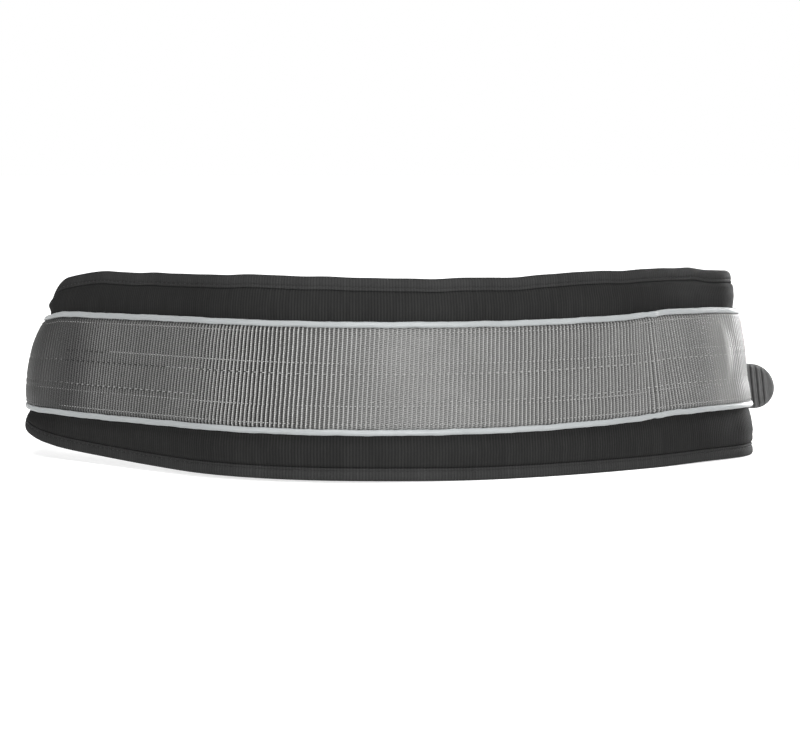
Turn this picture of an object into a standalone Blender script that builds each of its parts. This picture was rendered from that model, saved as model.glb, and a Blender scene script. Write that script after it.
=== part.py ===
"""Canicross belt: a padded hip band with a webbing strap along it, closed as a loop, on its lower edge.

The belt is described in its own strip coordinates. A place on it is a run (how far along the loop, clockwise
from above, from where the right corner starts), a height above the floor, and a depth outwards from the
band's outer face. belt_point turns these three into a point in space.
"""
import math
from collections import namedtuple

import bmesh
import bpy
from mathutils import Vector

# Sizes are in millimetres and angles in degrees
MM = 0.001

# The loop seen from above at mid-height: bends walked clockwise, each an arc of a length and a turn
Bend = namedtuple("Bend", "length turn")
CORNER_RADIUS = 42.0
FAR_SLANT = 18.0
RIGHT_CORNER_TURN = 110.0
LEFT_CORNER_TURN = 115.0
NEAR_SIDE = (
    Bend(math.radians(RIGHT_CORNER_TURN) * CORNER_RADIUS, RIGHT_CORNER_TURN),
    Bend(107.0, 17.0),
    Bend(73.0, 15.0),
    Bend(59.0, 20.0),
    Bend(56.0, 28.0),
    Bend(32.0, 17.0),
    Bend(117.3, 2.0),
    Bend(math.radians(LEFT_CORNER_TURN) * CORNER_RADIUS, LEFT_CORNER_TURN),
)

# The band, its hem and the strap, across their thickness and width
MID_HEIGHT = 50.0
BODY_THICKNESS = 6.0
HEM_THICKNESS = 3.6
HEM_WIDTH = 6.5
BINDING_WALL = 0.9
BINDING_BEVEL = 0.8
CORE_THICKNESS = 1.2
SHOULDER_WIDTH = 3.0
SHOULDER_DROP = 0.9
END_RADIUS = 26.0
GAP = 0.3
WEBBING_WIDTH = 49.6
WEBBING_THICKNESS = 2.2
SELVEDGE_WIDTH = 0.6
PIPING_WIDTH = 2.3
PIPING_THICKNESS = 2.6
PIPING_FLANK = 1.6
HOOK_THICKNESS = 1.5
HOOK_WIDTH = 42.0

# The pull tab: a flat ribbed tongue with a half-round end, its root between the webbing and the hook patch
TAB_WIDTH = 25.0
TAB_REACH = 28.5
TAB_ROOT = 12.0
TAB_THICKNESS = 1.6
TAB_RIBS = 8
TAB_RIB_HEIGHT = 0.9
TAB_RIB_PITCH = 3.1
TAB_RIB_FOOT = 1.86
TAB_RIB_CREST = 1.24
TAB_TIP_CUT = 0.4

# Where each strip starts and ends along the run; a negative run lies on the far side, before the right corner
BAND_START = -210.0
BAND_END = 660.0
STRAP_START = 26.0
TAIL = 24.4
LIFT_START = 632.0
LIFT_END = 668.0

# How the belt's face leans along the loop: the inward lean at mid-height (run over rise) and the bow, which
# is how fast that lean grows with height (per millimetre)
Face = namedtuple("Face", "run lean bow")
FACE = (
    Face(0.0, 0.100, 0.0000),
    Face(50.0, 0.175, 0.0000),
    Face(90.0, 0.165, 0.0000),
    Face(160.0, 0.095, 0.0000),
    Face(200.0, 0.088, 0.0000),
    Face(405.0, 0.088, 0.0000),
    Face(450.0, 0.095, 0.0005),
    Face(480.0, 0.110, 0.0015),
    Face(520.0, 0.170, 0.0030),
    Face(560.0, 0.235, 0.0045),
    Face(614.0, 0.155, 0.0015),
    Face(700.0, 0.100, 0.0000),
    Face(945.0, 0.100, 0.0000),
)

# The heights of the band's lower and upper edges along its run
Edge = namedtuple("Edge", "run lower upper")
BAND_EDGES = (
    Edge(-210.0, 0.0, 77.9),
    Edge(-60.0, 0.0, 78.9),
    Edge(0.0, 0.0, 83.9),
    Edge(50.0, 0.0, 97.4),
    Edge(85.0, 0.4, 99.6),
    Edge(106.0, 0.6, 101.4),
    Edge(150.0, 0.0, 101.6),
    Edge(200.0, 0.0, 101.0),
    Edge(240.0, 0.0, 99.4),
    Edge(300.0, 0.8, 99.7),
    Edge(355.0, 1.4, 101.1),
    Edge(405.0, 2.0, 100.7),
    Edge(441.0, 3.0, 100.2),
    Edge(472.0, 4.2, 100.0),
    Edge(497.0, 5.4, 100.0),
    Edge(512.0, 6.2, 99.2),
    Edge(525.0, 7.6, 97.2),
    Edge(543.0, 10.5, 90.5),
    Edge(568.0, 13.2, 77.0),
    Edge(614.0, 14.0, 76.0),
    Edge(660.0, 14.0, 76.0),
)

# The height of the strap's middle along its run, and how much of its half width goes into height above and
# below that: less than all of it where the belt leans
Strap = namedtuple("Strap", "run middle above below")
STRAP = (
    Strap(26.0, 52.4, 0.972, 0.966),
    Strap(85.0, 53.3, 0.972, 0.966),
    Strap(130.0, 53.6, 0.983, 0.980),
    Strap(165.0, 52.0, 0.984, 0.990),
    Strap(200.0, 51.4, 0.985, 0.998),
    Strap(240.0, 50.8, 0.995, 1.000),
    Strap(300.0, 51.0, 1.000, 1.000),
    Strap(405.0, 51.9, 1.000, 1.000),
    Strap(480.0, 51.4, 0.985, 0.995),
    Strap(514.0, 51.2, 0.969, 0.975),
    Strap(532.0, 51.0, 0.910, 0.960),
    Strap(560.0, 50.8, 0.870, 0.930),
    Strap(614.0, 50.4, 0.930, 0.960),
    Strap(700.0, 48.0, 0.990, 0.990),
    Strap(945.0, 35.5, 0.990, 0.990),
    Strap(1000.0, 33.1, 0.990, 0.990),
)

# How finely the strips are faceted
STEP_LENGTH = 14.0
STEP_TURN = 9.5
SPARE_STEP = 4.0
END_STEPS = 4
SHARP_ANGLE = 35.0


def arc_step(heading, length, turn):
    """Displacement along an arc that starts at a heading; headings turn clockwise from +X."""
    half = math.radians(turn) / 2.0
    chord = length * (math.sin(half) / half if half else 1.0)
    direction = math.radians(heading) + half
    return Vector((chord * math.cos(direction), -chord * math.sin(direction)))


def closed_loop():
    """The near side, and the two far bends whose lengths bring the loop back to where it started."""
    reach = Vector((0.0, 0.0))
    heading = FAR_SLANT
    for bend in NEAR_SIDE:
        reach += arc_step(heading, bend.length, bend.turn)
        heading += bend.turn
    first = arc_step(heading, 1.0, FAR_SLANT)
    second = arc_step(heading + FAR_SLANT, 1.0, FAR_SLANT)
    scale = first.x * second.y - first.y * second.x
    first_length = (reach.y * second.x - reach.x * second.y) / scale
    second_length = (reach.x * first.y - reach.y * first.x) / scale
    return NEAR_SIDE + (Bend(first_length, FAR_SLANT), Bend(second_length, FAR_SLANT))


LOOP = closed_loop()
LOOP_LENGTH = sum(bend.length for bend in LOOP)
STRAP_END = LOOP_LENGTH + TAIL


def on_loop(run):
    """The run's place on the closed loop, from 0 to its length; the strap's tail keeps the loop's end."""
    return run % LOOP_LENGTH if run < 0.0 else min(run, LOOP_LENGTH)


def loop_frame(run):
    """The plan point and heading at a run; past the loop's end the strap leaves it in a straight line."""
    left = on_loop(run)
    place = Vector((0.0, 0.0))
    heading = FAR_SLANT
    for bend in LOOP:
        part = min(left, bend.length) / bend.length
        place += arc_step(heading, bend.length * part, bend.turn * part)
        heading += bend.turn * part
        left -= bend.length * part
        if part < 1.0:
            break
    tail = max(run - LOOP_LENGTH, 0.0)
    return place + arc_step(heading, tail, 0.0), heading


def smooth(share):
    """A share from 0 to 1 eased at both ends."""
    share = min(max(share, 0.0), 1.0)
    return share * share * (3.0 - 2.0 * share)


def slope_at(rows, row, field):
    """A table column's slope at a row: level at the ends and turning points, so that nothing overshoots."""
    if row in (0, len(rows) - 1):
        return 0.0
    start, here, end = rows[row - 1:row + 2]
    before = (here[field] - start[field]) / (here.run - start.run)
    after = (end[field] - here[field]) / (end.run - here.run)
    return 2.0 * before * after / (before + after) if before * after > 0.0 else 0.0


def row_at(rows, run):
    """The row of a table at a run, joined smoothly from row to row."""
    row = max(i for i in range(len(rows) - 1) if i == 0 or rows[i].run <= run)
    start, end = rows[row:row + 2]
    width = end.run - start.run
    share = min(max((run - start.run) / width, 0.0), 1.0)
    values = []
    for field in range(1, len(start)):
        rise = end[field] - start[field]
        leaving = slope_at(rows, row, field) * width - rise
        arriving = slope_at(rows, row + 1, field) * width - rise
        bend = share * (1.0 - share) * (leaving * (1.0 - share) - arriving * share)
        values.append(start[field] + rise * share + bend)
    return type(start)(run, *values)


def strap_height(run, off):
    """The height at a run of a place on the strap, a distance across it from its middle."""
    strap = row_at(STRAP, run)
    return strap.middle + off * (strap.above if off > 0.0 else strap.below)


def belt_point(run, height, depth):
    """The point in space, in metres, at a run, a height above the floor and a depth outwards."""
    place, heading = loop_frame(run)
    face = row_at(FACE, on_loop(run))
    rise = height - MID_HEIGHT
    offset = depth - face.lean * rise - face.bow * rise * rise / 2.0
    angle = math.radians(heading)
    outwards = Vector((math.sin(angle), math.cos(angle)))
    plan = place + outwards * offset
    return Vector((plan.x, plan.y, height)) * MM


def shared_runs():
    """Runs where every strip has a section, so that strips laid on each other are faceted alike."""
    runs = []
    start = 0.0
    for bend in LOOP:
        steps = math.ceil(max(bend.length / STEP_LENGTH, bend.turn / STEP_TURN))
        runs.extend(start + bend.length * i / steps for i in range(steps))
        start += bend.length
    far_side = [run - LOOP_LENGTH for run in runs if run > LOOP_LENGTH / 2.0]
    return far_side + runs + [LOOP_LENGTH]


def runs_between(start, end):
    """A strip's own start and end, and the shared runs between them that leave a step to spare."""
    return [start] + [run for run in shared_runs() if start + SPARE_STEP < run < end - SPARE_STEP] + [end]


def band_rim(inset):
    """The band's outline moved in by an inset: its lower and its upper edge, as (run, height) pairs."""
    start = BAND_START + END_RADIUS
    end = BAND_END - END_RADIUS
    radius = END_RADIUS - inset
    straight = runs_between(start, end)
    lower = []
    upper = []
    turns = [math.radians(90.0 * i / END_STEPS) for i in range(END_STEPS)]
    rounding = [(radius * math.cos(turn), radius * math.sin(turn)) for turn in turns]
    places = [(start - reach, rise) for reach, rise in rounding]
    places += [(run, radius) for run in straight]
    places += [(end + reach, rise) for reach, rise in reversed(rounding)]
    for run, rise in places:
        edge = row_at(BAND_EDGES, run)
        lower.append((run, edge.lower + END_RADIUS - rise))
        upper.append((run, edge.upper - END_RADIUS + rise))
    return lower, upper


def ring_of(bm, inset, depth):
    """A closed ring of vertices round the band, at an inset from its outline and a depth."""
    lower, upper = band_rim(inset)
    places = lower + upper[::-1]
    return [bm.verts.new(belt_point(run, height, depth)) for run, height in places]


def bridge(bm, first, second, closed=True):
    """Quads between two rows of vertices of the same length."""
    count = len(first)
    for i in range(count if closed else count - 1):
        j = (i + 1) % count
        bm.faces.new((first[i], first[j], second[j], second[i]))


def fill_ring(bm, ring, inset, depth):
    """Fills a ring with rungs from the lower edge to the upper one, each with a vertex at its middle."""
    half = len(ring) // 2
    lower = ring[:half]
    upper = ring[half:][::-1]
    rim_lower, rim_upper = band_rim(inset)
    middle = []
    for low, high in zip(rim_lower, rim_upper):
        middle.append(bm.verts.new(belt_point((low[0] + high[0]) / 2.0, (low[1] + high[1]) / 2.0, depth)))
    bridge(bm, lower, middle, closed=False)
    bridge(bm, middle, upper, closed=False)
    bm.faces.new((lower[0], middle[0], upper[0]))
    bm.faces.new((lower[-1], middle[-1], upper[-1]))


def loft(bm, runs, outline):
    """A closed strip with flat ends, through outlines of (distance across it, depth) pairs for a run."""
    rings = []
    for run in runs:
        places = [(strap_height(run, off), depth) for off, depth in outline(run)]
        rings.append([bm.verts.new(belt_point(run, height, depth)) for height, depth in places])
    for first, second in zip(rings, rings[1:]):
        bridge(bm, first, second)
    bm.faces.new(rings[0])
    bm.faces.new(rings[-1])


def material(name, colour, roughness):
    """A plain Principled material."""
    finish = bpy.data.materials.new(name)
    finish.use_nodes = True
    shader = finish.node_tree.nodes["Principled BSDF"]
    shader.inputs["Base Color"].default_value = (*colour, 1.0)
    shader.inputs["Roughness"].default_value = roughness
    shader.inputs["Metallic"].default_value = 0.0
    finish.diffuse_color = (*colour, 1.0)
    return finish


def add_part(name, bm, finish, collection, parent):
    """Turns a bmesh into an object of the belt, with its faces pointing out."""
    bmesh.ops.recalc_face_normals(bm, faces=bm.faces[:])
    mesh = bpy.data.meshes.new(name)
    bm.to_mesh(mesh)
    bm.free()
    mesh.materials.append(finish)
    mesh.shade_smooth()
    mesh.set_sharp_from_angle(angle=math.radians(SHARP_ANGLE))
    part = bpy.data.objects.new(name, mesh)
    collection.objects.link(part)
    part.parent = parent
    return part


def padded_band():
    """The padded band: full thickness in the body, a thin core where the binding wraps it."""
    bm = bmesh.new()
    middle = -BODY_THICKNESS / 2.0
    core = CORE_THICKNESS / 2.0
    body = BODY_THICKNESS / 2.0
    shoulder = HEM_WIDTH + 2.0 * GAP
    rows = (
        (BINDING_WALL + GAP, core),
        (HEM_WIDTH + GAP, core),
        (shoulder, body - SHOULDER_DROP),
        (shoulder + SHOULDER_WIDTH, body),
    )
    outer = [ring_of(bm, inset, middle + half) for inset, half in rows]
    inner = [ring_of(bm, inset, middle - half) for inset, half in rows]
    rings = outer[::-1] + inner
    for first, second in zip(rings, rings[1:]):
        bridge(bm, first, second)
    fill_ring(bm, outer[-1], rows[-1][0], middle + body)
    fill_ring(bm, inner[-1], rows[-1][0], middle - body)
    return bm


def edge_binding():
    """The binding: a U of fabric over the band's edge, closed on itself all the way round."""
    bm = bmesh.new()
    middle = -BODY_THICKNESS / 2.0
    skin = HEM_THICKNESS / 2.0
    lining = skin - BINDING_WALL
    profile = (
        (HEM_WIDTH, skin),
        (BINDING_BEVEL, skin),
        (0.0, skin - BINDING_BEVEL),
        (0.0, BINDING_BEVEL - skin),
        (BINDING_BEVEL, -skin),
        (HEM_WIDTH, -skin),
        (HEM_WIDTH, -lining),
        (BINDING_WALL, -lining),
        (BINDING_WALL, lining),
        (HEM_WIDTH, lining),
    )
    rings = [ring_of(bm, inset, middle + depth) for inset, depth in profile]
    for first, second in zip(rings, rings[1:] + rings[:1]):
        bridge(bm, first, second)
    return bm


def strap_lift(run):
    """How far the strap stands off the band's face: over the far side the hook patch lies under it."""
    share = (run - LIFT_START) / (LIFT_END - LIFT_START)
    return GAP + smooth(share) * (HOOK_THICKNESS + GAP)


def webbing(strap_runs):
    """The strap: a flat band of webbing with softened edges."""
    bm = bmesh.new()
    half = WEBBING_WIDTH / 2.0
    flat = half - SELVEDGE_WIDTH

    def outline(run):
        inner = strap_lift(run)
        outer = inner + WEBBING_THICKNESS
        centre = (inner + outer) / 2.0
        return (
            (-half, centre),
            (-flat, inner),
            (0.0, inner),
            (flat, inner),
            (half, centre),
            (flat, outer),
            (0.0, outer),
            (-flat, outer),
        )

    loft(bm, strap_runs, outline)
    return bm


def piping(side, strap_runs):
    """The piping along one edge of the strap, upper for a side of 1 and lower for -1, rounded outwards."""
    bm = bmesh.new()
    near = side * (WEBBING_WIDTH / 2.0 + GAP)
    far = near + side * PIPING_WIDTH

    def outline(run):
        inner = strap_lift(run)
        flank = inner + PIPING_FLANK
        outer = inner + PIPING_THICKNESS
        return ((near, inner), (far, inner), (far, flank), ((near + far) / 2.0, outer), (near, flank))

    loft(bm, strap_runs, outline)
    return bm


def hook_patch():
    """The hook face inside the strap's free part."""
    bm = bmesh.new()
    half = HOOK_WIDTH / 2.0

    def outline(run):
        outer = strap_lift(run) - GAP
        inner = outer - HOOK_THICKNESS
        return ((-half, inner), (half, inner), (half, outer), (-half, outer))

    loft(bm, runs_between(LIFT_END, STRAP_END - TAB_ROOT - GAP), outline)
    return bm


def pull_tab():
    """The pull tab: a root behind the strap's end, a straight part and a half-round end, ribbed across."""
    bm = bmesh.new()
    radius = TAB_WIDTH / 2.0
    tip = STRAP_END + TAB_REACH
    outer = strap_lift(STRAP_END) - GAP
    inner = outer - TAB_THICKNESS
    ribs = {STRAP_END - TAB_ROOT: 0.0, tip - TAB_TIP_CUT: 0.0}
    for i in range(TAB_RIBS):
        centre = STRAP_END + GAP + TAB_RIB_FOOT / 2.0 + i * TAB_RIB_PITCH
        for side in (-1.0, 1.0):
            ribs[centre + side * TAB_RIB_FOOT / 2.0] = 0.0
            ribs[centre + side * TAB_RIB_CREST / 2.0] = TAB_RIB_HEIGHT

    def outline(run):
        past = max(run - (tip - radius), 0.0)
        half = math.sqrt(radius * radius - past * past)
        low = inner - ribs[run]
        high = outer + ribs[run]
        return ((-half, low), (half, low), (half, high), (-half, high))

    loft(bm, sorted(ribs), outline)
    return bm


def main():
    """Builds the belt, with its parts under one empty that puts the origin on the floor under its middle."""
    for old in list(bpy.data.objects):
        bpy.data.objects.remove(old, do_unlink=True)
    collection = bpy.data.collections.new("canicross_belt")
    bpy.context.scene.collection.children.link(collection)
    origin = bpy.data.objects.new("belt_origin", None)
    collection.objects.link(origin)

    black = material("black_padding", (0.022, 0.022, 0.023), 0.9)
    hem = material("black_hem", (0.035, 0.035, 0.036), 0.85)
    grey = material("grey_webbing", (0.25, 0.255, 0.25), 0.6)
    light = material("light_piping", (0.6, 0.63, 0.65), 0.5)
    hook = material("black_hook", (0.02, 0.02, 0.02), 0.7)
    rubber = material("grey_rubber", (0.09, 0.09, 0.09), 0.55)

    strap_runs = runs_between(STRAP_START, STRAP_END)
    shapes = (
        ("padded_band", padded_band(), black),
        ("edge_binding", edge_binding(), hem),
        ("webbing", webbing(strap_runs), grey),
        ("upper_piping", piping(1, strap_runs), light),
        ("lower_piping", piping(-1, strap_runs), light),
        ("hook_patch", hook_patch(), hook),
        ("pull_tab", pull_tab(), rubber),
    )
    parts = [add_part(name, shape, finish, collection, origin) for name, shape, finish in shapes]
    points = [vertex.co for part in parts for vertex in part.data.vertices]
    for axis in (0, 1):
        places = [point[axis] for point in points]
        origin.location[axis] = -(min(places) + max(places)) / 2.0


main()
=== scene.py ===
"""Looks of the canicross belt: cloth, webbing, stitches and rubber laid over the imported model.

The belt is shaped in strip coordinates, in millimetres. A place on it is a run (how far along the loop,
clockwise from above, from where the right corner starts), a height above the floor, and a depth outwards from
the band's outer face. belt_point turns these into points in space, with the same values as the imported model.
"""
import math
from collections import namedtuple

import bmesh
import bpy
import numpy as np
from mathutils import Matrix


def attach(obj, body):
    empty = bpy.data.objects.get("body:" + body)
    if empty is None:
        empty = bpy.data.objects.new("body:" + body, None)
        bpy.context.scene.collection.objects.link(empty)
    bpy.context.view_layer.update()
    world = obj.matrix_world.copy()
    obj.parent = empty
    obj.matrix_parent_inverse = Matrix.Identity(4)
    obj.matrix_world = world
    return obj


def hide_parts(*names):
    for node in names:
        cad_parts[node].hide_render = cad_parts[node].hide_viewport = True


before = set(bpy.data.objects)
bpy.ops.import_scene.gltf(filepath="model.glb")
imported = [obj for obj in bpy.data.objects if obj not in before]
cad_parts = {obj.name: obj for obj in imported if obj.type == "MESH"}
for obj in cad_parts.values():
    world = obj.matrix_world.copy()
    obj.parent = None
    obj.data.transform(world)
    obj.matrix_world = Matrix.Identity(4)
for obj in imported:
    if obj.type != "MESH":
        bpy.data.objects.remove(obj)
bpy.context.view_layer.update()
BODY = "root"

# Sizes are in millimetres and angles in radians, and MM brings them to metres
MM = 0.001
TURN = 2.0 * math.pi

# The loop seen from above at mid-height: bends walked clockwise, each an arc of a length and a turn
Bend = namedtuple("Bend", "length turn")
CORNER_RADIUS = 42.0
FAR_SLANT = math.radians(18.0)
RIGHT_CORNER_TURN = math.radians(110.0)
LEFT_CORNER_TURN = math.radians(115.0)
NEAR_SIDE = (
    Bend(RIGHT_CORNER_TURN * CORNER_RADIUS, RIGHT_CORNER_TURN),
    Bend(107.0, math.radians(17.0)),
    Bend(73.0, math.radians(15.0)),
    Bend(59.0, math.radians(20.0)),
    Bend(56.0, math.radians(28.0)),
    Bend(32.0, math.radians(17.0)),
    Bend(117.3, math.radians(2.0)),
    Bend(LEFT_CORNER_TURN * CORNER_RADIUS, LEFT_CORNER_TURN),
)
LOOP_START = (153.925, 76.789)

# The band, its hem and the strap, across their thickness and width
MID_HEIGHT = 50.0
BODY_THICKNESS = 6.0
HEM_THICKNESS = 3.6
END_RADIUS = 26.0
GAP = 0.3
WEBBING_WIDTH = 49.6
WEBBING_THICKNESS = 2.2
PIPING_WIDTH = 2.3
PIPING_THICKNESS = 2.6
HOOK_THICKNESS = 1.5
HOOK_WIDTH = 42.0
TAB_WIDTH = 25.0
TAB_REACH = 28.5
TAB_ROOT = 12.0
TAB_THICKNESS = 1.6
TAB_RIB_HEIGHT = 1.15
TAB_RIB_PITCH = 3.1
TAB_RIBS = 8
STRAP_REACH = WEBBING_WIDTH / 2.0 + GAP + PIPING_WIDTH

# Where each strip starts and ends along the run; a negative run lies on the far side, before the right
# corner. The strap's tail goes straight on past the loop, and over LIFT the strap rises for the hook patch
BAND_START = -210.0
BAND_END = 660.0
STRAP_START = 26.0
TAIL = 24.4
LIFT_START = 632.0
LIFT_END = 668.0

# Tables along the run: (run, inward lean at mid-height, how fast the lean grows with height)
FACE = (
    (0.0, 0.100, 0.0000),
    (50.0, 0.175, 0.0000),
    (90.0, 0.165, 0.0000),
    (160.0, 0.095, 0.0000),
    (200.0, 0.088, 0.0000),
    (405.0, 0.088, 0.0000),
    (450.0, 0.095, 0.0005),
    (480.0, 0.110, 0.0015),
    (520.0, 0.170, 0.0030),
    (560.0, 0.235, 0.0045),
    (614.0, 0.155, 0.0015),
    (700.0, 0.100, 0.0000),
    (945.0, 0.100, 0.0000),
)

# (run, height of the band's lower edge, height of its upper edge)
BAND_EDGES = (
    (-210.0, 0.0, 77.9),
    (-60.0, 0.0, 78.9),
    (0.0, 0.0, 83.9),
    (50.0, 0.0, 97.4),
    (85.0, 0.4, 99.6),
    (106.0, 0.6, 101.4),
    (150.0, 0.0, 101.6),
    (200.0, 0.0, 101.0),
    (240.0, 0.0, 99.4),
    (300.0, 0.8, 99.7),
    (355.0, 1.4, 101.1),
    (405.0, 2.0, 100.7),
    (441.0, 3.0, 100.2),
    (472.0, 4.2, 100.0),
    (497.0, 5.4, 99.2),
    (512.0, 6.5, 97.4),
    (525.0, 8.2, 95.6),
    (543.0, 11.5, 90.4),
    (568.0, 14.0, 77.5),
    (614.0, 14.0, 76.0),
    (660.0, 14.0, 76.0),
)

# (run, height of the strap's middle, how much of its half width goes into height above that, and below)
STRAP = (
    (26.0, 52.4, 0.930, 0.966),
    (55.0, 52.8, 0.910, 0.966),
    (88.0, 53.3, 0.970, 0.966),
    (130.0, 53.6, 0.983, 0.980),
    (165.0, 52.0, 0.984, 0.990),
    (200.0, 51.4, 0.985, 0.998),
    (240.0, 50.8, 0.995, 1.000),
    (300.0, 51.0, 1.000, 1.000),
    (405.0, 51.9, 1.000, 1.000),
    (480.0, 51.4, 0.985, 0.995),
    (514.0, 51.2, 0.969, 0.975),
    (532.0, 51.0, 0.885, 0.960),
    (560.0, 50.8, 0.815, 0.930),
    (614.0, 50.4, 0.930, 0.960),
    (700.0, 48.0, 0.990, 0.990),
    (945.0, 35.5, 0.990, 0.990),
    (1000.0, 33.1, 0.990, 0.990),
)


def arc_step(heading, length, turn):
    """Displacements along arcs that start at a heading; headings turn clockwise from +X."""
    chord = length * np.sinc(turn / TURN)
    direction = heading + turn / 2.0
    return np.stack((chord * np.cos(direction), -chord * np.sin(direction)), axis=-1)


def closed_loop():
    """The near side, and the two far bends whose lengths bring the loop back to where it started."""
    reach = np.zeros(2)
    heading = FAR_SLANT
    for bend in NEAR_SIDE:
        reach = reach + arc_step(heading, bend.length, bend.turn)
        heading += bend.turn
    far = (arc_step(heading, 1.0, FAR_SLANT), arc_step(heading + FAR_SLANT, 1.0, FAR_SLANT))
    lengths = np.linalg.solve(np.column_stack(far), -reach)
    return NEAR_SIDE + tuple(Bend(length, FAR_SLANT) for length in lengths)


LOOP = closed_loop()
LENGTHS = np.array([bend.length for bend in LOOP])
TURNS = np.array([bend.turn for bend in LOOP])
BEND_RUNS = np.concatenate(([0.0], np.cumsum(LENGTHS)[:-1]))
BEND_HEADINGS = FAR_SLANT + np.concatenate(([0.0], np.cumsum(TURNS)[:-1]))
BEND_STEPS = arc_step(BEND_HEADINGS, LENGTHS, TURNS)
BEND_PLACES = np.concatenate(([[0.0, 0.0]], np.cumsum(BEND_STEPS, axis=0)[:-1])) + LOOP_START
LOOP_LENGTH = LENGTHS.sum()
STRAP_END = LOOP_LENGTH + TAIL


def on_loop(run):
    """The runs' places on the closed loop, from 0 to its length; the strap's tail keeps the loop's end."""
    return np.where(run < 0.0, run % LOOP_LENGTH, np.minimum(run, LOOP_LENGTH))


def smooth(share):
    """Shares from 0 to 1 eased at both ends."""
    share = np.clip(share, 0.0, 1.0)
    return share * share * (3.0 - 2.0 * share)


def row_at(rows, run):
    """A table's columns at runs, joined smoothly from row to row, and never past the rows on either side."""
    table = np.array(rows)
    steps = np.diff(table, axis=0)
    secants = steps[:, 1:] / steps[:, :1]
    before = secants[:-1]
    after = secants[1:]
    rising = before * after > 0.0
    slopes = np.zeros_like(table[:, 1:])
    slopes[1:-1] = np.where(rising, 2.0 * before * after / np.where(rising, before + after, 1.0), 0.0)
    row = np.clip(np.searchsorted(table[:, 0], run, side="right") - 1, 0, len(table) - 2)
    width = steps[row, 0][..., None]
    rise = steps[row, 1:]
    share = np.clip((run - table[row, 0])[..., None] / width, 0.0, 1.0)
    leaving = slopes[row] * width - rise
    arriving = slopes[row + 1] * width - rise
    bend = share * (1.0 - share) * (leaving * (1.0 - share) - arriving * share)
    return np.moveaxis(table[row, 1:] + rise * share + bend, -1, 0)


def outwards(run):
    """The level directions that point out of the belt at runs."""
    run = on_loop(np.asarray(run, dtype=float))
    bend = np.clip(np.searchsorted(BEND_RUNS, run, side="right") - 1, 0, len(LOOP) - 1)
    heading = BEND_HEADINGS[bend] + TURNS[bend] * (run - BEND_RUNS[bend]) / LENGTHS[bend]
    return np.stack((np.sin(heading), np.cos(heading), np.zeros_like(heading)), axis=-1)


def belt_point(run, height, depth):
    """Points in space, in millimetres, at runs, heights above the floor and depths outwards."""
    values = (np.asarray(value, dtype=float) for value in (run, height, depth))
    run, height, depth = np.broadcast_arrays(*values)
    place = on_loop(run)
    bend = np.clip(np.searchsorted(BEND_RUNS, place, side="right") - 1, 0, len(LOOP) - 1)
    along = place - BEND_RUNS[bend]
    plan = BEND_PLACES[bend] + arc_step(BEND_HEADINGS[bend], along, TURNS[bend] * along / LENGTHS[bend])
    out = outwards(run)[..., :2]
    ahead = np.stack((out[..., 1], -out[..., 0]), axis=-1)
    lean, bow = row_at(FACE, place)
    rise = height - MID_HEIGHT
    offset = depth - lean * rise - bow * rise * rise / 2.0
    tail = np.maximum(run - LOOP_LENGTH, 0.0)
    plan = plan + out * offset[..., None] + ahead * tail[..., None]
    return np.concatenate((plan, height[..., None]), axis=-1)


def strap_height(run, off):
    """The heights at runs of places on the strap, at distances across it from its middle."""
    middle, above, below = row_at(STRAP, np.asarray(run, dtype=float))
    return middle + off * np.where(off > 0.0, above, below)


def strap_off(run, height):
    """How far across the strap places lie from its middle, whichever of its two rounds passes there."""
    middle, above, below = row_at(STRAP, np.where(run < STRAP_START, run + LOOP_LENGTH, run))
    return (height - middle) / np.where(height > middle, above, below)


def strap_lift(run):
    """How far the strap stands off the band's face: over the far side the hook patch lies under it."""
    share = (np.asarray(run, dtype=float) - LIFT_START) / (LIFT_END - LIFT_START)
    return GAP + smooth(share) * (HOOK_THICKNESS + GAP)


# The press of the strap into the foam round the tight left corner: the runs over which it comes and goes, how
# far past the strap's edges it fades, its least depth, and from where and how steeply it deepens up and down
PRESS_START = 505.0
PRESS_COMES = 45.0
PRESS_END = 640.0
PRESS_GOES = 55.0
PRESS_FADE = 8.0
PRESS_LEAST = 0.3
PRESS_UP_FROM = 6.0
PRESS_UP = 0.0065
PRESS_DOWN_FROM = 4.0
PRESS_DOWN = 0.0032


def press(run, off):
    """How far the strap sinks into the foam at places, most along its two edges."""
    corner = smooth((run - PRESS_START) / PRESS_COMES) * smooth((PRESS_END - run) / PRESS_GOES)
    above = np.maximum(off - PRESS_UP_FROM, 0.0)
    below = np.maximum(PRESS_DOWN_FROM - off, 0.0)
    edges = smooth((STRAP_REACH + PRESS_FADE - np.abs(off)) / PRESS_FADE)
    return corner * edges * (PRESS_UP * above ** 2 + PRESS_DOWN * below ** 2 + PRESS_LEAST)


def pushed_in(run, height):
    """How far the strap pushes the band inwards at runs and heights."""
    return press(run, strap_off(run, height))


def drift(place, wavelength, seed):
    """A smooth random wave between about -1 and 1 along a place, the same in every run of the script."""
    rng = np.random.default_rng(seed)
    wave = 0.0
    for stretch in (1.0, 0.62, 0.37):
        wave = wave + stretch * np.sin(TURN * (place / (wavelength * stretch) + rng.random()))
    return wave / 1.6


def ridge(place, centre, width):
    """A bump of height 1 at a centre, gone at a width to either side."""
    return smooth(1.0 - np.abs(place - centre) / width)


FLARE = 3.5
FLARE_RUN = 56.0
FLARE_SPREAD = 46.0
FLARE_FOOT = 73.0
FLARE_RISE = 22.0


def flare(run, height):
    """How far the band's upper edge stands outwards where it turns the right corner."""
    return FLARE * ridge(run, FLARE_RUN, FLARE_SPREAD) * smooth((height - FLARE_FOOT) / FLARE_RISE)


def band_stand(strip):
    """How far the flare and the strap's press move (run, height) rows of the band outwards."""
    run, height = strip[..., 0], strip[..., 1]
    return flare(run, height) - pushed_in(run, height)


# Meshes
# The strip map of a piece holds runs and heights in units of STRIP_UNIT, for its material to read
STRIP_UNIT = 100.0


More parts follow.
